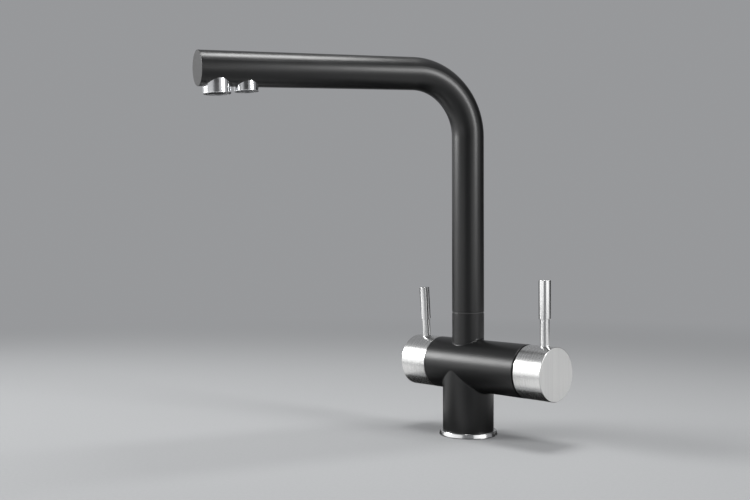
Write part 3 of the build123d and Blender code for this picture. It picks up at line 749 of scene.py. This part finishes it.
soft_box(
    "over_arm_box", arm_aim, around(side=25, height_angle=86), distance=0.55,
    across=arm_along, width=0.28, height=0.24, glow=16.0,
)
soft_box(
    "left_box", knob_middle, around(left_box_side, height_angle=23), distance=stand_off,
    across=up.cross(around(left_box_side)), width=0.72, height=0.5, glow=16.0,
)
standing_box(
    "left_panel", side=-51, distance=panel_off, width=1.25, foot=0.0, top=0.38, glow=1.15
)
standing_box(
    "far_left_panel", side=-97, distance=panel_off, width=1.27, foot=0.0, top=0.45, glow=1.15
)
standing_box("left_wall", side=-94, distance=stand_off, width=1.2, foot=0.45, top=1.2, glow=1.8)
standing_box("back_panel", side=-140, distance=stand_off, width=0.7, foot=0.2, top=0.9, glow=0.5)
standing_box("front_box", side=55, distance=stand_off, width=0.42, foot=0.45, top=1.1, glow=19.0)
standing_box(
    "front_panel", side=43, distance=panel_off, width=1.53, foot=0.0, top=0.42, glow=1.25
)

# %% [markdown]
# ## Helpers for cards
# A tube that mirrors an even studio looks flat. Photographers stand black cards where a tube should
# go dark, and white cards where it should go bright. A lamp could do the latter, but it would light
# the floor as well. Here a card is a plain sheet that only reflections see. It throws no shadow and
# no light. Cards lie on the deck at three levels, and where they overlap, the upper one counts.

# %% Card helpers
card_black = (0.01, 0.01, 0.01, 1)
card_white = (0.8, 0.8, 0.8, 1)
under_level, lying_level, over_level = 0.0005, 0.001, 0.0015


def studio_card(name, middle, half_across, half_along, colour):
    """A flat card, by its middle and the way to the middle of two of its edges."""
    signs = ((-1, -1), (1, -1), (1, 1), (-1, 1))
    corners = [middle + half_across * across + half_along * along for across, along in signs]
    mesh = bpy.data.meshes.new(name)
    mesh.from_pydata(corners, [], [(0, 1, 2, 3)])
    material, tree, shader = new_material(name)
    fill_sockets(tree, shader, {"Base Color": colour, "Roughness": 1.0})
    mesh.materials.append(material)
    card = bpy.data.objects.new(name, mesh)
    card.visible_camera = False
    card.visible_shadow = False
    card.visible_diffuse = False
    scene.collection.objects.link(card)


def standing_card(name, side, distance, width, foot, top):
    """A black card that stands upright beside the tap, between two heights."""
    toward = around(side)
    middle = toward * distance + up * ((foot + top) / 2)
    half_across, half_along = up.cross(toward) * (width / 2), up * ((top - foot) / 2)
    studio_card(name, middle, half_across, half_along, card_black)


def lying_card(name, colour, level, side, distance, width, depth):
    """A card that lies on the deck beside the tap."""
    toward = around(side)
    middle = toward * distance + up * level
    half_across, half_along = up.cross(toward) * (width / 2), toward * (depth / 2)
    studio_card(name, middle, half_across, half_along, colour)


print("card helpers ready")

# %% [markdown]
# ## Black and white cards
# Three black cards stand: one above the camera for the dark core of the outlets, one at the right
# for the right edge of every upright, and a low one at the back for the left edge of the levers.
# The others lie on the deck. A black one behind the barrel darkens the undersides of the knobs, the
# barrel and the arm. White ones at the left and in front brighten the levers down to their feet,
# and one at the right brightens the flat end of the mixer knob. Two small white ones each brighten
# the lower half of a knob, and a black strip between them keeps the barrel dark.

# %% Black and white cards
behind_barrel = 180 - degrees(turned)

standing_card("camera_card", side=0, distance=1.4, width=1.0, foot=0.40, top=1.2)
standing_card("right_card", side=122, distance=1.2, width=0.9, foot=0.0, top=1.1)
standing_card("back_card", side=-150, distance=1.2, width=0.9, foot=0.0, top=0.19)
lying_card(
    "under_card", card_black, under_level, side=behind_barrel, distance=0.27, width=1.0, depth=0.6
)
lying_card(
    "left_white_card", card_white, lying_level, side=-78, distance=0.78, width=1.0, depth=0.76
)
lying_card(
    "front_white_card", card_white, lying_level, side=43, distance=0.9, width=0.8, depth=0.56
)
lying_card(
    "right_white_card", card_white, lying_level, side=92, distance=0.55, width=0.8, depth=0.8
)
lying_card(
    "left_knob_card", card_white, lying_level, side=-116, distance=0.24, width=0.15, depth=0.26
)
lying_card(
    "right_knob_card", card_white, lying_level, side=-48, distance=0.18, width=0.12, depth=0.26
)
lying_card(
    "barrel_card", card_black, over_level, side=-79, distance=0.16, width=0.08, depth=0.26
)
